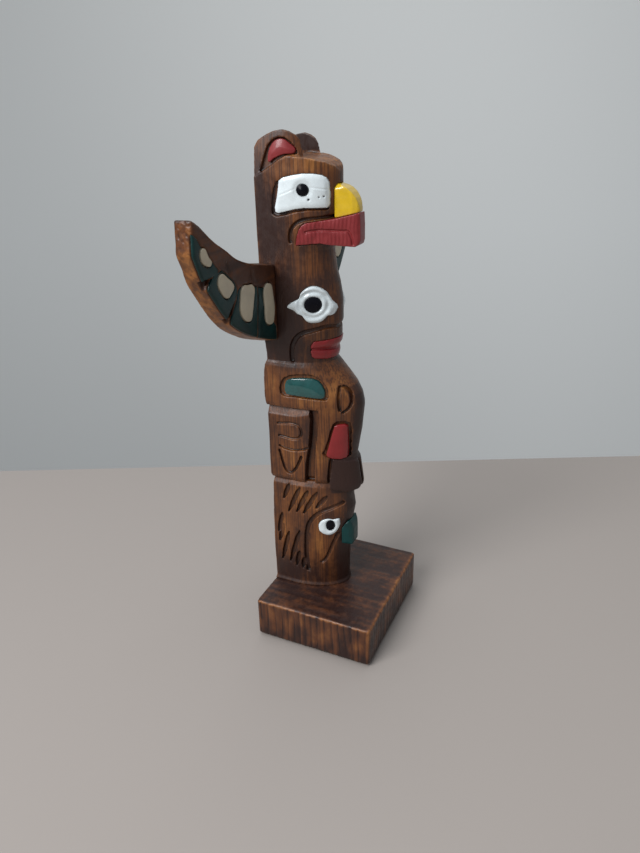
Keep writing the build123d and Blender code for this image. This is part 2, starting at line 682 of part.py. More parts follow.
# Right wing with its painted recesses, the notches between the feathers and the dowel holes
with BuildPart() as wing_right:
    add(wing_board)
    with BuildSketch(Plane.XZ.offset(-wing_front)):
        for points in grounds:
            closed_polygon(points)
        for points in feathers:
            closed_curve(drawn_in(points, -feather_ring))
    extrude(amount=-feather_depth, mode=Mode.SUBTRACT)
    with BuildSketch(Plane.XZ.offset(-wing_front)):
        for points in notches:
            closed_polygon(points)
    extrude(amount=-notch_depth, mode=Mode.SUBTRACT)
    with BuildSketch(Plane.XZ.offset(-wing_front)):
        for start, end in feather_marks:
            gouge(start, end, 1.0)
    extrude(amount=-0.5, mode=Mode.SUBTRACT)
    with BuildSketch(Plane.YZ.offset(-wing_root)):
        with Locations(*[(dowel_y, z) for z in dowel_heights]):
            Circle(dowel_radius + fit)
    extrude(amount=-dowel_length / 2 - 0.3, mode=Mode.SUBTRACT)
write_pair("wing", wing_right.part, wing_drop)

with BuildPart() as ground_right:
    with BuildSketch(Plane.XZ.offset(-wing_front - feather_depth + glue)):
        for points in grounds:
            closed_polygon(points)
        offset(amount=-gap, mode=Mode.REPLACE)
    extrude(amount=feather_depth - glue)
    add(wing_board, mode=Mode.INTERSECT)
    with BuildSketch(Plane.XZ.offset(-wing_front)):
        for points in feathers:
            closed_curve(drawn_in(points, -feather_ring))
        for points in notches:
            closed_polygon(points)
    extrude(amount=-feather_depth, mode=Mode.SUBTRACT)
write_pair("feather_ground", ground_right.part, wing_drop)

with BuildPart() as feathers_right:
    with BuildSketch(Plane.XZ.offset(-wing_front - feather_depth + glue)):
        for points in feathers:
            closed_curve(drawn_in(points, gap))
    extrude(amount=feather_depth - glue + 0.2)
write_pair("feather_panels", feathers_right.part, wing_drop)

with BuildPart() as wing_dowels:
    for side, drop in ((-1, 0), (1, wing_drop)):
        with BuildSketch(Plane.YZ.offset(side * (wing_root - dowel_length / 2))):
            with Locations(*[(dowel_y, z - drop) for z in dowel_heights]):
                Circle(dowel_radius)
        extrude(amount=side * dowel_length)
    chamfer(wing_dowels.edges().filter_by(GeomType.CIRCLE), 0.5)
wing_dowels.part.label = "wing_dowels"
export_step(wing_dowels.part, "parts/wing_dowels.step")

# Base board with the countersunk screw hole and the locating dowel hole
with BuildPart() as base:
    with BuildSketch(Plane.XY.offset(felt_thickness)):
        Rectangle(base_width, base_depth)
    extrude(amount=base_top - felt_thickness)
    fillet(base.edges().filter_by(Axis.Z), edge_wear)
    fillet(base.faces().sort_by(Axis.Z)[-1].edges(), edge_wear / 2)
    chamfer(base.faces().sort_by(Axis.Z)[0].edges(), 0.5)
    with BuildSketch(Plane.XY.offset(base_top)):
        with Locations((0, foot_dowel_y)):
            Circle(foot_dowel_radius + fit)
    extrude(amount=-10.3, mode=Mode.SUBTRACT)
    with Locations(Plane((0, screw_y, felt_thickness), x_dir=(1, 0, 0), z_dir=(0, 0, -1))):
        CounterSinkHole(screw_radius + fit, screw_head_radius + 0.8, depth=base_top)
base.part.label = "base"
export_step(base.part, "parts/base.step")

with BuildPart() as felt_pad:
    with BuildSketch(Plane.XY):
        RectangleRounded(base_width - 2 * felt_margin, base_depth - 2 * felt_margin, 2.0)
    extrude(amount=felt_thickness - glue)
felt_pad.part.label = "felt_pad"
export_step(felt_pad.part, "parts/felt_pad.step")

with BuildPart() as foot_dowel:
    with BuildSketch(Plane.XY.offset(base_top - 10)):
        with Locations((0, foot_dowel_y)):
            Circle(foot_dowel_radius)
    extrude(amount=20)
    chamfer(foot_dowel.edges().filter_by(GeomType.CIRCLE), 0.6)
foot_dowel.part.label = "foot_dowel"
export_step(foot_dowel.part, "parts/foot_dowel.step")

# Countersunk wood screw, driven from under the felt
head_z = felt_thickness + 0.1
with BuildPart() as base_screw:
    with BuildSketch(Plane.YZ) as profile:
        with BuildLine():
            Polyline(
                (screw_y, head_z),
                (screw_y + screw_head_radius, head_z),
                (screw_y + screw_head_radius, head_z + 0.3),
                (screw_y + screw_radius, head_z + screw_head_height),
                (screw_y + screw_radius, head_z + screw_length - 6),
                (screw_y, head_z + screw_length),
                close=True,
            )
        make_face()
    revolve(axis=Axis((0, screw_y, 0), (0, 0, 1)))
    with BuildSketch(Plane.XY.offset(head_z)):
        with Locations((0, screw_y)):
            Rectangle(5.4, 1.1)
            Rectangle(1.1, 5.4)
    extrude(amount=1.2, mode=Mode.SUBTRACT)
base_screw.part.label = "base_screw"
export_step(base_screw.part, "parts/base_screw.step")
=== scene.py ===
import math

import bmesh
import bpy
import numpy as np
from mathutils import Matrix, Vector, noise
from mathutils.kdtree import KDTree


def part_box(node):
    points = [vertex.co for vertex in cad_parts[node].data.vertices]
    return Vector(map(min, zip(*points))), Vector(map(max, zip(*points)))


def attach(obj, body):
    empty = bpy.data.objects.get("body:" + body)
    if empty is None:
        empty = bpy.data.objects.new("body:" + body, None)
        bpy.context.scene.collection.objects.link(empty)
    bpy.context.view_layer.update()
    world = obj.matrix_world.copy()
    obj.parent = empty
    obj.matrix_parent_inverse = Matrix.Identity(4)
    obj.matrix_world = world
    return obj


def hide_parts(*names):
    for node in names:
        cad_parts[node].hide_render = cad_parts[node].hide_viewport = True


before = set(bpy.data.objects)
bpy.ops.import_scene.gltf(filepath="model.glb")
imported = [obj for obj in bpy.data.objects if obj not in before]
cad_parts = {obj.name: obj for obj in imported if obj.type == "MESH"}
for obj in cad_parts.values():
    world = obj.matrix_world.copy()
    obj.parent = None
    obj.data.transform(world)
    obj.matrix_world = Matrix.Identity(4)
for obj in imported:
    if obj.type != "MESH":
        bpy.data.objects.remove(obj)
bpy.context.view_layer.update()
MM = 0.001

# Placement of the camera, row frame, metres and degrees; the lens is in mm
EYE = (-0.2264, -0.0993, 0.2039)
AZIMUTH = -64.71
DOWN = 24.86
ROLL = -1.364
LENS = 29.34
FLOOR_REACH = 0.385  # level distance from the camera to the far edge of the floor
WALL_GAP = 0.9  # from that edge to the wall behind it


# ---------------------------------------------------------------- mesh helpers

def welded(*nodes):
    """One new mesh from copies of CAD nodes, with the split vertices joined."""
    bm = bmesh.new()
    for node in nodes:
        bm.from_mesh(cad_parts[node].data)
    bmesh.ops.remove_doubles(bm, verts=bm.verts, dist=2e-6)
    mesh = bpy.data.meshes.new("welded")
    bm.to_mesh(mesh)
    bm.free()
    return mesh


def remeshed(mesh, voxel_mm):
    """The mesh rebuilt as an even net of small quads."""
    work = bpy.data.objects.new("work", mesh)
    bpy.context.collection.objects.link(work)
    rebuild = work.modifiers.new("rebuild", "REMESH")
    rebuild.mode = "VOXEL"
    rebuild.voxel_size = voxel_mm * MM
    rebuild.adaptivity = 0.0
    bpy.context.view_layer.update()
    graph = bpy.context.evaluated_depsgraph_get()
    result = bpy.data.meshes.new_from_object(work.evaluated_get(graph), depsgraph=graph)
    bpy.data.objects.remove(work)
    result.materials.clear()
    return result


def points_of(mesh):
    co = np.empty(len(mesh.vertices) * 3)
    mesh.vertices.foreach_get("co", co)
    return co.reshape(-1, 3)


def set_points(mesh, co):
    mesh.vertices.foreach_set("co", np.ascontiguousarray(co).ravel())
    mesh.update()


def normals_of(mesh):
    n = np.empty(len(mesh.vertices) * 3)
    mesh.vertex_normals.foreach_get("vector", n)
    return n.reshape(-1, 3)


def links_of(mesh):
    e = np.empty(len(mesh.edges) * 2, dtype=np.int64)
    mesh.edges.foreach_get("vertices", e)
    return e.reshape(-1, 2)


def relax(values, links, rounds, pull=0.5, push=0.0):
    """Averages values over neighbouring vertices; with push set, keeps the volume (Taubin)."""
    values = values.reshape(len(values), -1).copy()
    count = np.bincount(links.ravel(), minlength=len(values)).astype(float)
    count[count == 0] = 1
    for _ in range(rounds):
        for share in (pull, push):
            if share:
                mean = np.empty_like(values)
                for k in range(values.shape[1]):
                    column = values[:, k]
                    mean[:, k] = np.bincount(links[:, 0], column[links[:, 1]], len(values))
                    mean[:, k] += np.bincount(links[:, 1], column[links[:, 0]], len(values))
                mean /= count[:, None]
                values += share * (mean - values)
    return values


def store(mesh, name, values):
    """One number for each vertex, for the materials to read."""
    layer = mesh.attributes.new(name, "FLOAT", "POINT")
    layer.data.foreach_set("value", np.ascontiguousarray(values, dtype=np.float32).ravel())


def step(x, low, high):
    """0 at low, 1 at high, and smooth between them."""
    t = np.clip((x - low) / (high - low), 0, 1)
    return t * t * (3 - 2 * t)


def ripple(co, scale, seed):
    """Smooth noise from -1 to 1 at each point; scale is cycles per metre along x, y and z."""
    shift = Vector((seed * 7.3, seed * 3.1, seed * 5.7))
    s = Vector(scale)
    return np.array([noise.noise(Vector((p[0] * s[0], p[1] * s[1], p[2] * s[2])) + shift) for p in co])


def finish_piece(name, mesh, material, nodes):
    """Hands the mesh over as the visible piece for the CAD nodes."""
    mesh.shade_smooth()
    mesh.materials.clear()
    mesh.materials.append(material)
    piece = bpy.data.objects.new(name, mesh)
    bpy.context.collection.objects.link(piece)
    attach(piece, "root")
    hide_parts(*nodes)


# ---------------------------------------------------------------- material helpers

class Nodes:
    """A material and short calls that add nodes to it."""

    def __init__(self, name):
        self.material = bpy.data.materials.new(name)
        self.material.use_nodes = True
        self.tree = self.material.node_tree
        self.shader = self.tree.nodes["Principled BSDF"]
        self.place = self.tree.nodes.new("ShaderNodeTexCoord").outputs["Object"]

    def put(self, socket, value):
        if isinstance(value, bpy.types.NodeSocket):
            self.tree.links.new(value, socket)
        elif hasattr(socket.default_value, "__len__") and len(socket.default_value) == 4 and len(value) == 3:
            socket.default_value = (*value, 1.0)
        else:
            socket.default_value = value

    def math(self, kind, a, b=0.0):
        node = self.tree.nodes.new("ShaderNodeMath")
        node.operation = kind
        self.put(node.inputs[0], a)
        self.put(node.inputs[1], b)
        return node.outputs[0]

    def span(self, value, low, high, to_low=0.0, to_high=1.0):
        node = self.tree.nodes.new("ShaderNodeMapRange")
        node.interpolation_type = "SMOOTHSTEP"
        self.put(node.inputs["Value"], value)
        for key, number in (("From Min", low), ("From Max", high), ("To Min", to_low), ("To Max", to_high)):
            node.inputs[key].default_value = number
        return node.outputs["Result"]

    def mix(self, factor, a, b):
        node = self.tree.nodes.new("ShaderNodeMix")
        node.data_type = "RGBA"
        self.put(node.inputs[0], factor)
        self.put(node.inputs[6], a)
        self.put(node.inputs[7], b)
        return node.outputs[2]

    def scaled(self, scale):
        node = self.tree.nodes.new("ShaderNodeMapping")
        self.put(node.inputs["Vector"], self.place)
        node.inputs["Scale"].default_value = scale
        return node.outputs["Vector"]

    def noise(self, scale, detail=2.0, rough=0.5, warp=0.0):
        node = self.tree.nodes.new("ShaderNodeTexNoise")
        self.put(node.inputs["Vector"], self.scaled(scale))
        node.inputs["Scale"].default_value = 1.0
        node.inputs["Detail"].default_value = detail
        node.inputs["Roughness"].default_value = rough
        node.inputs["Distortion"].default_value = warp
        return node.outputs["Fac"]

    def dots(self, scale):
        node = self.tree.nodes.new("ShaderNodeTexVoronoi")
        self.put(node.inputs["Vector"], self.scaled((scale, scale, scale)))
        node.inputs["Scale"].default_value = 1.0
        return node.outputs["Distance"]

    def value(self, name):
        node = self.tree.nodes.new("ShaderNodeAttribute")
        node.attribute_name = name
        return node.outputs["Fac"]

    def bump(self, height, distance_mm, strength=1.0):
        node = self.tree.nodes.new("ShaderNodeBump")
        node.inputs["Distance"].default_value = distance_mm * MM
        node.inputs["Strength"].default_value = strength
        self.put(node.inputs["Height"], height)
        return node.outputs["Normal"]

    def finish(self, colour, roughness, normal, coat=0.0, coat_roughness=0.2, specular=0.5):
        self.put(self.shader.inputs["Base Color"], colour)
        self.put(self.shader.inputs["Roughness"], roughness)
        self.put(self.shader.inputs["Normal"], normal)
        self.shader.inputs["Coat Weight"].default_value = coat
        self.shader.inputs["Coat Roughness"].default_value = coat_roughness
        self.shader.inputs["Specular IOR Level"].default_value = specular
        return self.material


ALONG_X, ALONG_Z = 0, 2  # directions of the grain


def wood(name, stain_and_shade, brown, worn, grain, fine=1600.0, depth=0.09, line=0.55, lift=0.0):
    """Stained, waxed wood with its grain along one axis: fine is the number of grain lines per metre,
    depth their depth in mm, line how dark they are, and lift makes the whole piece lighter."""
    n = Nodes(name)

    def along(across, down):
        scale = [across] * 3
        scale[grain] = down
        return scale

    lines = n.noise(along(fine, fine * 0.015), 1.0, 0.5, 0.15)
    streaks = n.noise(along(340, 18), 3.0, 0.55, 0.6)
    patches = n.noise(along(110, 55), 3.0, 0.6, 0.4)
    mottle = n.noise((520, 520, 420), 4.0, 0.65)
    relief = n.value("relief")
    hollow = n.value("hollow")
    tone = n.value("tone")
    amount = n.math("MULTIPLY", streaks, 0.7)
    amount = n.math("ADD", amount, n.math("MULTIPLY", patches, 1.1))
    amount = n.math("ADD", amount, n.math("MULTIPLY", mottle, 0.55))
    amount = n.math("ADD", amount, tone)
    amount = n.math("ADD", amount, -1.2 + lift)
    colour = n.mix(n.span(amount, -0.35, 0.35), stain_and_shade, brown)
    colour = n.mix(n.span(amount, 0.2, 0.8, 0.0, 0.85), colour, worn)
    dark_line = n.span(lines, 0.53, 0.42, 0.0, line)
    colour = n.mix(dark_line, colour, stain_and_shade)
    edge = n.math("ADD", relief, n.math("MULTIPLY", n.math("SUBTRACT", mottle, 0.5), 0.3))
    colour = n.mix(n.span(edge, 0.07, 0.3, 0.0, 0.42), colour, worn)
    # painted shade: deep hollows and fine creases are darkened toward the stain colour
    colour = n.mix(n.span(hollow, -0.12, -0.75, 0.0, 0.9), colour, [c * 0.5 for c in stain_and_shade])
    colour = n.mix(n.span(relief, -0.04, -0.22, 0.0, 0.93), colour, [c * 0.25 for c in stain_and_shade])
    height = n.math("ADD", n.math("MULTIPLY", lines, 1.0), n.math("MULTIPLY", mottle, 0.35))
    normal = n.bump(height, depth, 0.9)
    rough = n.span(mottle, 0.3, 0.7, 0.34, 0.54)
    return n.finish(colour, rough, normal, coat=0.1, coat_roughness=0.38, specular=0.42)


def paint(name, colour, rough, coat, grain_lines=0.0, pits=0.0, shade=0.75, wear=None, specular=0.5):
    """Brushed enamel paint: small tone changes, faint brush or grain ridges, pits where asked."""
    n = Nodes(name)
    cloud = n.noise((260, 260, 260), 4.0, 0.6)
    brush = n.noise((900, 900, 60), 2.0, 0.5)
    mixed = n.mix(n.span(cloud, 0.3, 0.7), [c * shade for c in colour], colour)
    relief = n.value("relief")
    # painted shade: the paint is darkened in its creases and hollows
    mixed = n.mix(n.span(relief, -0.05, -0.3, 0.0, 0.6), mixed, [c * 0.35 for c in colour])
    # painted shade: the listed pits are coloured near black
    mixed = n.mix(n.value("pit"), mixed, (0.015, 0.015, 0.02))
    if wear is not None:
        worn = n.math("ADD", relief, n.math("MULTIPLY", n.math("SUBTRACT", cloud, 0.5), 0.3))
        mixed = n.mix(n.span(worn, 0.12, 0.2, 0.0, 0.7), mixed, wear)
    height = n.math("ADD", n.math("MULTIPLY", cloud, 0.4), n.math("MULTIPLY", brush, grain_lines))
    if pits:
        # painted shade: the scattered pits are coloured near black
        hole = n.span(n.dots(520), 0.055, 0.09)
        where = n.span(n.noise((150, 150, 150), 1.0), 0.52, 0.6)
        hole = n.math("MAXIMUM", hole, n.math("SUBTRACT", 1.0, where))
        mixed = n.mix(n.math("MULTIPLY", n.math("SUBTRACT", 1.0, hole), pits), mixed, (0.02, 0.02, 0.025))
        height = n.math("ADD", height, hole)
    normal = n.bump(height, 0.05, 0.6)
    dull = n.span(cloud, 0.3, 0.7, rough * 0.8, rough * 1.2)
    return n.finish(mixed, dull, normal, coat=coat, coat_roughness=0.08, specular=specular)


# Each wood: its stain, which, darkened, is also the painted shade in creases and hollows, its brown, and its
# colour where worn
carved_wood = wood(
    "carved_wood", (0.027, 0.0092, 0.0058), (0.152, 0.050, 0.0125), (0.360, 0.145, 0.033), ALONG_Z)
wing_wood = wood(
    "wing_wood", (0.026, 0.0085, 0.0045), (0.125, 0.038, 0.009), (0.36, 0.14, 0.032), ALONG_X,
    fine=700.0, line=0.4, lift=0.08)
base_wood = wood(
    "base_wood", (0.024, 0.0088, 0.0066), (0.112, 0.037, 0.013), (0.27, 0.105, 0.030), ALONG_Z,
    fine=750.0, line=0.3)
white = paint("white_paint", (0.80, 0.88, 0.90), 0.2, 0.6, grain_lines=0.9, pits=0.95, shade=0.9)
pearl = paint("pearl_paint", (0.76, 0.84, 0.86), 0.25, 0.5, grain_lines=0.3, pits=0.9, shade=0.86)
black = paint("black_paint", (0.004, 0.004, 0.007), 0.3, 0.06, specular=0.12)
yellow = paint("yellow_paint", (0.72, 0.47, 0.015), 0.18, 0.7, grain_lines=0.3, pits=0.5, shade=0.85)
red = paint("red_paint", (0.25, 0.022, 0.024), 0.42, 0.12, grain_lines=1.2, shade=0.8)
deep_red = paint("deep_red_paint", (0.25, 0.012, 0.014), 0.36, 0.25, grain_lines=0.5, shade=0.85)
teal = paint("teal_paint", (0.006, 0.085, 0.080), 0.16, 0.8, grain_lines=0.4, shade=0.7)
dark_teal = paint(
    "dark_teal_paint", (0.003, 0.052, 0.050), 0.35, 0.12, grain_lines=0.3, shade=0.7, specular=0.3)
green = paint(
    "green_paint", (0.003, 0.032, 0.030), 0.38, 0.1, grain_lines=0.4, shade=0.6,
    wear=(0.05, 0.03, 0.015), specular=0.3)
cream = paint("cream_paint", (0.56, 0.49, 0.36), 0.45, 0.1, grain_lines=0.4, shade=0.86)


# ---------------------------------------------------------------- wooden pieces

def carved(node, voxel, rounds):
    """A worn copy of a wooden CAD node: returns its mesh and the pairs of linked vertices."""
    mesh = remeshed(welded(node), voxel)
    links = links_of(mesh)
    set_points(mesh, relax(points_of(mesh), links, rounds, 0.55, -0.35))
    return mesh, links


def add_relief(mesh, links, near, far=0):
    """Stores how far each vertex stands above (+) or lies below (-) its surroundings, in mm."""
    co = points_of(mesh)
    normal = normals_of(mesh)
    smooth = relax(co, links, near)
    store(mesh, "relief", relax(((co - smooth) * normal).sum(1) / MM, links, 1))
    if far:
        smooth = relax(smooth, links, far)
        store(mesh, "hollow", relax(((co - smooth) * normal).sum(1) / MM, links, 3))


# Lighter (+) and darker (-) places on the pole: middle y and z, reach in y and z, all in mm, and amount
POLE_TONES = (
    (6, 186, 12, 3.5, 0.42),  # brow
    (10, 192, 12, 4.0, 0.25),  # ears
    (19, 165, 6, 12, -0.22),  # back of the head
    (6, 172, 9, 10, 0.12),  # round the bird's eye
    (5, 153, 6, 6, 0.12),  # neck
    # beside the wing: painted shade where the wing meets the pole, together with some stain
    (16, 140, 6, 16, -0.55),  # beside the wing
    (16, 121, 9, 5, -0.45),  # behind the mouth
    (2, 121, 6, 4, -0.3),  # round the lips
    (10, 109, 22, 9, 0.42),  # shoulder
    (0, 101, 7, 8, 0.25),  # belly
    (14, 78, 9, 10, 0.36),  # forearm
    (2, 84, 3.5, 14, 0.3),  # thigh
    (12, 60, 10, 8, 0.42),  # crown of the lowest face
    (19, 42, 4, 12, 0.3),  # hair
    (4, 40, 3.5, 10, 0.5),  # cheek of the lowest face
    (14, 24, 9, 7, -0.3),  # foot of the pole, side
    (-4, 30, 6, 12, -0.35),  # foot of the pole, front
)
EAR_FOOT = (189.0, 190.5)  # mm, heights between which the inner faces of the ears turn dark
# painted shade: the front-facing faces below these heights are darkened
BELLY_TOP = (113.0, 120.0)  # mm, heights over which the dark front of the belly ends
FEET = ((63.0, 64.5), (79.4, 80.2))  # mm, lower and upper edge of the dark feet
WING_TIP = (54.0, 58.0)  # mm from the middle, where the wing begins to be worn round
WING_PITS = (166.0, 171.0)  # mm, heights over which the pits of the wing tip begin
CUT_PITCH = 3.0  # mm between the upright knife cuts round the base
CUT_WIDTH = 0.10  # of the pitch


def inner_face(normal, x):
    """How far a surface looks toward the middle of the figure."""
    return step(normal[:, 0] * -np.sign(x), 0.6, 0.9)


def edge_line(a, b, reach_a, reach_b):
    """1 on a straight edge and less away from it; a and b are the distances from it."""
    return np.exp(-(a / reach_a) ** 2 - (b / reach_b) ** 2)


def make_pole():
    mesh, links = carved("pole", 0.28, 2)
    co = points_of(mesh)
    normal = normals_of(mesh)
    knife = ripple(co, (160, 160, 70), 1) * 0.10 + ripple(co, (420, 420, 120), 2) * 0.045
    set_points(mesh, co + normal * knife[:, None] * MM)
    add_relief(mesh, links, 10, 90)
    x, y, z = (co / MM).T
    tone = np.zeros(len(co))
    for middle_y, middle_z, reach_y, reach_z, amount in POLE_TONES:
        tone += amount * edge_line(y - middle_y, z - middle_z, reach_y, reach_z)
    tone -= 0.9 * inner_face(normal, x) * step(z, *EAR_FOOT)
    # painted shade: faces turned toward the front are darkened below the top of the belly
    front = step(-normal[:, 1], 0.62, 0.9)
    tone -= 0.45 * front * (1 - step(z, *BELLY_TOP))
    foot = step(-y, 0.2, 0.9) * step(z, *FEET[0]) * (1 - step(z, *FEET[1]))
    tone -= 1.2 * foot
    # painted light: faces turned upward are made lighter, as the sky's sheen on them
    tone += 0.1 * step(normal[:, 2], 0.35, 0.7)
    store(mesh, "tone", tone)
    finish_piece("pole_wood", mesh, carved_wood, ["pole"])


def make_wing(side):
    mesh, links = carved("wing_" + side, 0.32, 5)
    co = points_of(mesh)
    worn_round = relax(co, links, 16)
    co += (worn_round - co) * step(np.abs(co[:, 0]) / MM, *WING_TIP)[:, None]
    set_points(mesh, co)
    normal = normals_of(mesh)
    knife = ripple(co, (90, 160, 160), 3) * 0.12 + ripple(co, (300, 420, 420), 4) * 0.05
    pitted = step(co[:, 2] / MM, *WING_PITS) * step(-np.abs(normal[:, 1]), -0.75, -0.4)
    knife -= pitted * np.clip(ripple(co, (1100, 1100, 1100), 5) - 0.15, 0, 1) * 0.7
    set_points(mesh, co + normal * knife[:, None] * MM)
    add_relief(mesh, links, 10, 60)
    rim = step(-np.abs(normal[:, 1]), -0.7, -0.3) * step(-normal[:, 2], -0.7, 0.2)
    store(mesh, "tone", rim * 0.6 - pitted * 0.1 - 0.05)
    finish_piece("wing_wood_" + side, mesh, wing_wood, ["wing_" + side])


def make_base():
    mesh, links = carved("base", 0.45, 4)
    co = points_of(mesh)
    normal = normals_of(mesh)
    x, y, z = (co / MM).T
    side_x = step(np.abs(normal[:, 0]), 0.4, 0.8)
    side_y = step(np.abs(normal[:, 1]), 0.4, 0.8)
    sides = side_x + side_y
    top = step(normal[:, 2], 0.5, 0.9)

    # Upright knife cuts, and between them bands that stand out more or less
    along = (side_x * y + side_y * x) / CUT_PITCH + ripple(co, (70, 70, 30), 6) * 0.9
    phase = along % 1.0
    cut = np.exp(-(np.minimum(phase, 1 - phase) / CUT_WIDTH) ** 2)
    band = ripple(np.stack([np.floor(along) * 0.02193, side_x, z * MM * 0.2], 1), (37, 1, 40), 10)
    upright = band * 1.3 + 0.5 * ripple(co, (620, 620, 30), 11)
    grain = ripple(co, (560, 45, 560), 8)
    knife = (side_x + side_y * 0.7) * (-0.22 * cut + 0.10 * band)
    knife += ripple(co, (120, 60, 120), 7) * 0.14 + top * grain * 0.12
    set_points(mesh, co + normal * knife[:, None] * MM)
    add_relief(mesh, links, 8, 40)

    # painted light and shade: the faces across x get a lighter tone than the faces across y, as one pair of
    # sides is lit more
    tone = side_x * (upright * 0.3 + 0.16 - cut * 0.35)
    tone += side_y * (upright * 0.2 - 0.02 - cut * 0.25)
    tone += sides * (ripple(co, (260, 260, 160), 13) * 0.5 - step(-z, -7, 0) * 0.3)
    tone += top * (step(ripple(co, (40, 40, 40), 9), 0.1, 0.5) * 0.3 - 0.14 + grain * 0.28)

    # Worn edges: chips along the right one, then the front one and the corner between the two
    low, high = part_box("base")
    from_right, from_front, from_top = x - low[0] / MM, y - low[1] / MM, high[2] / MM - z
    tone += top * (1 - step(from_front, 0, 5)) * 0.2
    chips = step(ripple(co, (240, 420, 240), 12), -0.25, 0.15)
    tone += 1.3 * chips * edge_line(from_right - 0.2, from_top - 0.3, 0.45, 0.5)
    tone += 0.7 * edge_line(from_front - 0.4, from_top - 0.4, 0.8, 0.8)
    tone += 0.6 * edge_line(from_right - 0.4, from_front - 0.4, 0.8, 0.8)
    store(mesh, "tone", tone)
    finish_piece("base_wood", mesh, base_wood, ["base"])


make_pole()
make_wing("right")
make_wing("left")
make_base()


# ---------------------------------------------------------------- painted pieces

def outward(co):
    """Sideways direction away from the middle of the pole."""
    d = np.stack([co[:, 0], np.minimum(co[:, 1] - 16.5 * MM, 0) * 0.35, np.zeros(len(co))], 1)
    return d / np.maximum(np.linalg.norm(d, axis=1), 1e-9)[:, None]


def forward(co):
    """Straight toward the figure's front."""
    return np.tile([0.0, -1.0, 0.0], (len(co), 1))


WALL_STEP = 0.25  # mm between the points that stand for a piece's outline
WALL = 0.93  # a polygon belongs to the outline when this much of its normal lies across the view
SIDE_VIEW, FRONT_VIEW = (1, 2), (0, 2)  # axes that show a piece's outline


def outline_distance(nodes, co, axes):
    """Distance in mm from each point to the outline of the nodes, in the view that shows axes."""
    wall = []
    for node in nodes:
        source = welded(node)
        flat = points_of(source)[:, list(axes)]
        for polygon in source.polygons:
            n = polygon.normal
            if math.hypot(n[axes[0]], n[axes[1]]) > WALL:
                for start, end in polygon.edge_keys:
                    count = int(np.linalg.norm(flat[end] - flat[start]) / (WALL_STEP * MM)) + 1
                    wall.extend(flat[start] + (flat[end] - flat[start]) * k / count for k in range(count))
    tree = KDTree(len(wall))
    for i, p in enumerate(wall):
        tree.insert((p[0], p[1], 0), i)
    tree.balance()
    return np.array([tree.find((p[axes[0]], p[axes[1]], 0))[2] for p in co]) / MM


def painted(name, nodes, material, voxel=0.22, rounds=6, crown=0.3, roll=1.0, axes=SIDE_VIEW,
            shape=None, face=outward, pits=()):
    """A painted piece: edges rolled over within roll mm, face crowned by crown mm, then shaped by shape."""
    mesh = remeshed(welded(*nodes), voxel)
    links = links_of(mesh)
    co = relax(points_of(mesh), links, rounds, 0.55, -0.25)
    set_points(mesh, co)
    out = face(co)
    facing = step((normals_of(mesh) * out).sum(1), 0.15, 0.6)
    inner = outline_distance(nodes, co, axes)
    lift = crown * (1 - np.exp(-((inner / roll) ** 1.5)))
    if shape is not None:
        lift = lift + shape(co / MM, inner)
    lift = relax(lift * facing, links, 2)[:, 0]
    set_points(mesh, co + out * lift[:, None] * MM)
    add_relief(mesh, links, 8)
    hole = np.zeros(len(co))
    for y, z, size in pits:
        hole += np.exp(-((co[:, 1] / MM - y) ** 2 + (co[:, 2] / MM - z) ** 2) / size ** 2)
    store(mesh, "pit", step(hole, 0.25, 0.6))
    finish_piece(name, mesh, material, nodes)


def crease_height(p, points):
    """Signed height of p above the line through points, both as (y, z)."""
    ys, zs = zip(*sorted(points))
    return p[:, 2] - np.interp(p[:, 1], ys, zs)


# Seen from the side, as (y, z) in mm
EAGLE_PUPIL = (7.0, 178.4)
EAGLE_CREASE = ((-0.6, 177.9), (1.0, 178.3), (3.9, 178.9), (8.3, 179.1), (11.4, 177.8), (15.3, 176.3))
EYE_PITS = ((5.2, 175.3, 0.42), (0.9, 176.2, 0.28), (2.2, 176.0, 0.24))  # with the radius of each
FACE_PUPIL = (4.8, 139.8)


def ring_round(p, middle):
    """Distance of p from the middle of a pupil, seen from the side."""
    return np.hypot(p[:, 1] - middle[0], p[:, 2] - middle[1])


def eagle_shape(p, inner):
    """A crease across the eye, a hollow round the pupil and a few pits."""
    above = crease_height(p, EAGLE_CREASE)
    fold = 0.36 * np.exp(-np.abs(above) / 3.0) - 0.17 * np.exp(-((above - 0.2) / 0.25) ** 2)
    fold -= 0.24 * np.exp(-((ring_round(p, EAGLE_PUPIL) - 2.3) / 0.8) ** 2)
    for y, z, size in EYE_PITS:
        fold -= 0.4 * np.exp(-(((p[:, 1] - y) ** 2 + (p[:, 2] - z) ** 2) / size ** 2))
    return fold * step(inner, 0.1, 1.4)


def face_eye_shape(p, inner):
    """A raised rim, a furrow inside it and a second rim next to the pupil."""
    ring = ring_round(p, FACE_PUPIL)
    wave = 0.07 * np.sin(p[:, 2] * 1.7 + p[:, 1] * 0.9)
    lift = 0.42 * np.exp(-((ring - 5.7) / 0.8) ** 2) - 0.35 * np.exp(-((ring - 4.5) / 0.5) ** 2)
    return lift + wave + 0.25 * np.exp(-((ring - 3.4) / 0.6) ** 2)


def wavy(amount, pace):
    """Shape with soft waves; pace is in radians per mm."""
    def shape(p, inner):
        return amount * np.sin(p[:, 1] * pace) * np.cos(p[:, 2] * pace * 0.6) * step(inner, 0.2, 1.2)
    return shape


def ridges(p, inner):
    """Upright grain ridges showing through the paint."""
    return 0.07 * np.sin(p[:, 1] * 5.2 + 0.6 * np.sin(p[:, 2] * 0.9)) * step(inner, 0.1, 0.8)


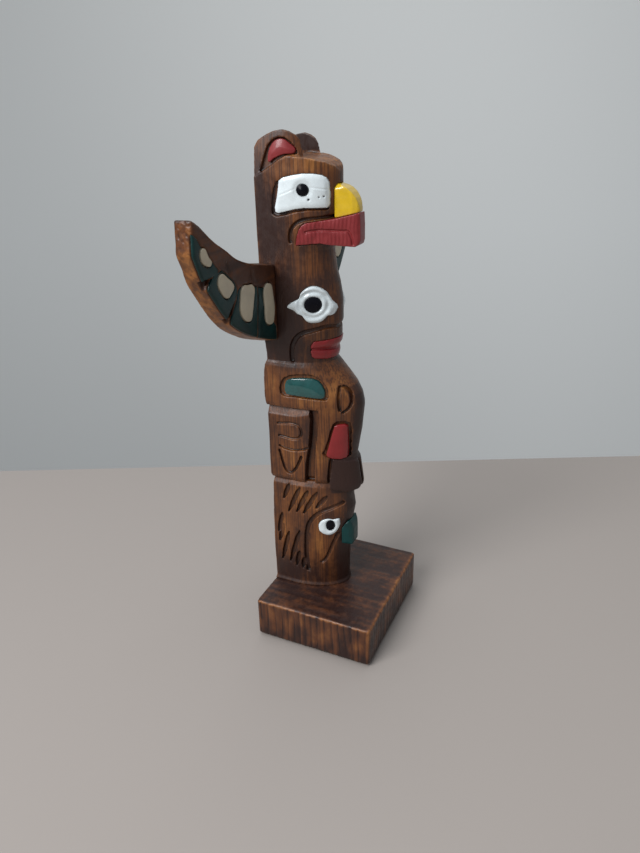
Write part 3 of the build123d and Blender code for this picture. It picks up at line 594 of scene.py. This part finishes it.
for side in ("right", "left"):
    painted(
        "eagle_eye_white_" + side, ["eagle_eye_" + side], white,
        voxel=0.18, crown=0.25, roll=0.7, shape=eagle_shape, pits=EYE_PITS)
    painted(
        "face_eye_white_" + side, ["face_eye_" + side], pearl,
        voxel=0.18, crown=0.35, roll=0.6, shape=face_eye_shape)
    painted(
        "lower_eye_white_" + side, ["lower_eye_" + side], white,
        voxel=0.16, crown=0.35, roll=0.6, shape=wavy(0.08, 1.9))
    painted(
        "ear_red_" + side, ["ear_panel_" + side], red,
        voxel=0.18, crown=0.55, roll=1.8)
    painted("shoulder_teal_" + side, ["shoulder_panel_" + side], teal, crown=0.55, roll=1.4)
    painted("knee_red_" + side, ["knee_panel_" + side], deep_red, crown=0.3, roll=1.0)
    painted(
        "feather_green_" + side, ["feather_ground_" + side], green,
        voxel=0.25, crown=0.1, roll=1.0, axes=FRONT_VIEW, face=forward)
    painted(
        "feather_cream_" + side, ["feather_panels_" + side], cream,
        voxel=0.2, crown=0.15, roll=0.8, axes=FRONT_VIEW, face=forward)
painted("lips_red", ["lips"], deep_red, crown=0.25, roll=0.8)
painted("jaw_red", ["jaw"], red, voxel=0.2, rounds=4, crown=0.1, roll=0.8, shape=ridges)
painted("beak_yellow", ["beak"], yellow, voxel=0.2, rounds=16, crown=0.15, roll=2.0)
painted("nose_teal", ["nose"], dark_teal, rounds=8, crown=0.2, roll=1.2)


def dome(size, height):
    """Shape that rises by height within size mm of the outline."""
    def shape(p, inner):
        return height * step(inner, 0.0, size)
    return shape


# Pupils: the figure they belong to, voxel, and reach and height of the dome, in mm
PUPILS = (("eagle", 0.14, 1.8, 0.5), ("face", 0.16, 1.5, 0.15), ("lower", 0.14, 1.2, 0.25))
for figure, voxel, size, height in PUPILS:
    painted(
        figure + "_pupil_black", [figure + "_pupils"], black,
        voxel=voxel, crown=0.0, shape=dome(size, height))


# ---------------------------------------------------------------- hidden and plain pieces

def fabric():
    n = Nodes("felt")
    fuzz = n.noise((1800, 1800, 1800), 4.0, 0.7)
    colour = n.mix(n.span(fuzz, 0.3, 0.7), (0.010, 0.022, 0.014), (0.035, 0.062, 0.042))
    return n.finish(colour, 0.95, n.bump(fuzz, 0.15), specular=0.1)


def bare_wood():
    n = Nodes("dowel_wood")
    lines = n.noise((1500, 1500, 1500), 3.0, 0.6)
    colour = n.mix(n.span(lines, 0.3, 0.7), (0.45, 0.29, 0.15), (0.66, 0.48, 0.29))
    return n.finish(colour, 0.6, n.bump(lines, 0.05))


def zinc():
    n = Nodes("screw_steel")
    lines = n.noise((2500, 2500, 300), 3.0, 0.6)
    n.shader.inputs["Metallic"].default_value = 1.0
    colour = n.mix(n.span(lines, 0.3, 0.7), (0.48, 0.48, 0.50), (0.68, 0.68, 0.70))
    return n.finish(colour, n.span(lines, 0.3, 0.7, 0.25, 0.42), n.bump(lines, 0.02))


plain = {
    "felt_pad": fabric(),
    "wing_dowels": bare_wood(),
    "beak_dowel": bare_wood(),
    "foot_dowel": bare_wood(),
    "base_screw": zinc(),
}
for node, material in plain.items():
    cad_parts[node].data.materials.clear()
    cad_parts[node].data.materials.append(material)


# ---------------------------------------------------------------- floor, wall, light, camera

def stage_material(name, low, high, along):
    """Plain matt surface, going softly from low to high in the direction along (per metre)."""
    n = Nodes(name)
    split = n.tree.nodes.new("ShaderNodeVectorMath")
    split.operation = "DOT_PRODUCT"
    n.put(split.inputs[0], n.place)
    split.inputs[1].default_value = along
    colour = n.mix(n.span(split.outputs["Value"], -0.5, 0.5), low, high)
    cloud = n.noise((20, 20, 20), 4.0, 0.6)
    return n.finish(colour, 0.75, n.bump(cloud, 0.1, 0.3), specular=0.15)


def sheet(name, low_edge, high_edge, half, material):
    """Flat rectangle between two level edges, each given by its middle; half is half its width."""
    across = aside * half
    ends = (low_edge - across, low_edge + across, high_edge + across, high_edge - across)
    mesh = bpy.data.meshes.new(name)
    mesh.from_pydata([tuple(end) for end in ends], [], [(0, 1, 2, 3)])
    mesh.materials.append(material)
    made = bpy.data.objects.new(name, mesh)
    bpy.context.collection.objects.link(made)


azimuth, down, roll = math.radians(AZIMUTH), math.radians(DOWN), math.radians(ROLL)
ahead = Vector((-math.sin(azimuth), math.cos(azimuth), 0))
aside = Vector((ahead.y, -ahead.x, 0))
upward = Vector((0, 0, 1))
floor_end = Vector((EYE[0], EYE[1], 0)) + ahead * FLOOR_REACH
wall_foot = floor_end + ahead * WALL_GAP
floor_material = stage_material("floor", (0.335, 0.30, 0.275), (0.37, 0.33, 0.30), aside * 2)
# painted light: the wall goes from darker at the lower left to lighter at the upper right
wall_material = stage_material("wall", (0.70, 0.71, 0.69), (0.93, 0.94, 0.91), aside + upward * 0.3)
sheet("floor", floor_end - ahead * 1.6, floor_end, 1.5, floor_material)
sheet("wall", wall_foot - upward, wall_foot + upward * 2, 2.5, wall_material)

world = bpy.data.worlds.new("sky")
bpy.context.scene.world = world
world.use_nodes = True
world.node_tree.nodes["Background"].inputs["Color"].default_value = (0.90, 0.94, 1.0, 1.0)
world.node_tree.nodes["Background"].inputs["Strength"].default_value = 0.34


LIT = (0, 0, 0.1)  # where both lamps point


def lamp(name, place, size, power, colour):
    data = bpy.data.lights.new(name, "AREA")
    data.shape = "SQUARE"
    data.size = size
    data.energy = power
    data.color = colour
    made = bpy.data.objects.new(name, data)
    bpy.context.collection.objects.link(made)
    made.location = place
    made.rotation_mode = "QUATERNION"
    made.rotation_quaternion = (Vector(LIT) - Vector(place)).to_track_quat("-Z", "Y")


lamp("window", (-0.60, 0.22, 0.62), 0.45, 6.5, (0.97, 0.98, 1.0))
lamp("ceiling", (0.10, 0.10, 0.95), 0.6, 3.4, (0.90, 0.95, 1.0))

camera = bpy.data.objects.new("camera", bpy.data.cameras.new("camera"))
bpy.context.collection.objects.link(camera)
look = ahead * math.cos(down) - upward * math.sin(down)
level = look.cross(upward).normalized()
steep = level.cross(look)
right = level * math.cos(roll) + steep * math.sin(roll)
up = steep * math.cos(roll) - level * math.sin(roll)
camera.matrix_world = Matrix((
    (right.x, up.x, -look.x, EYE[0]),
    (right.y, up.y, -look.y, EYE[1]),
    (right.z, up.z, -look.z, EYE[2]),
    (0, 0, 0, 1),
))
camera.data.lens = LENS
camera.data.clip_start = 0.01
bpy.context.scene.camera = camera
bpy.context.scene.view_settings.view_transform = "Standard"

bpy.context.view_layer.update()
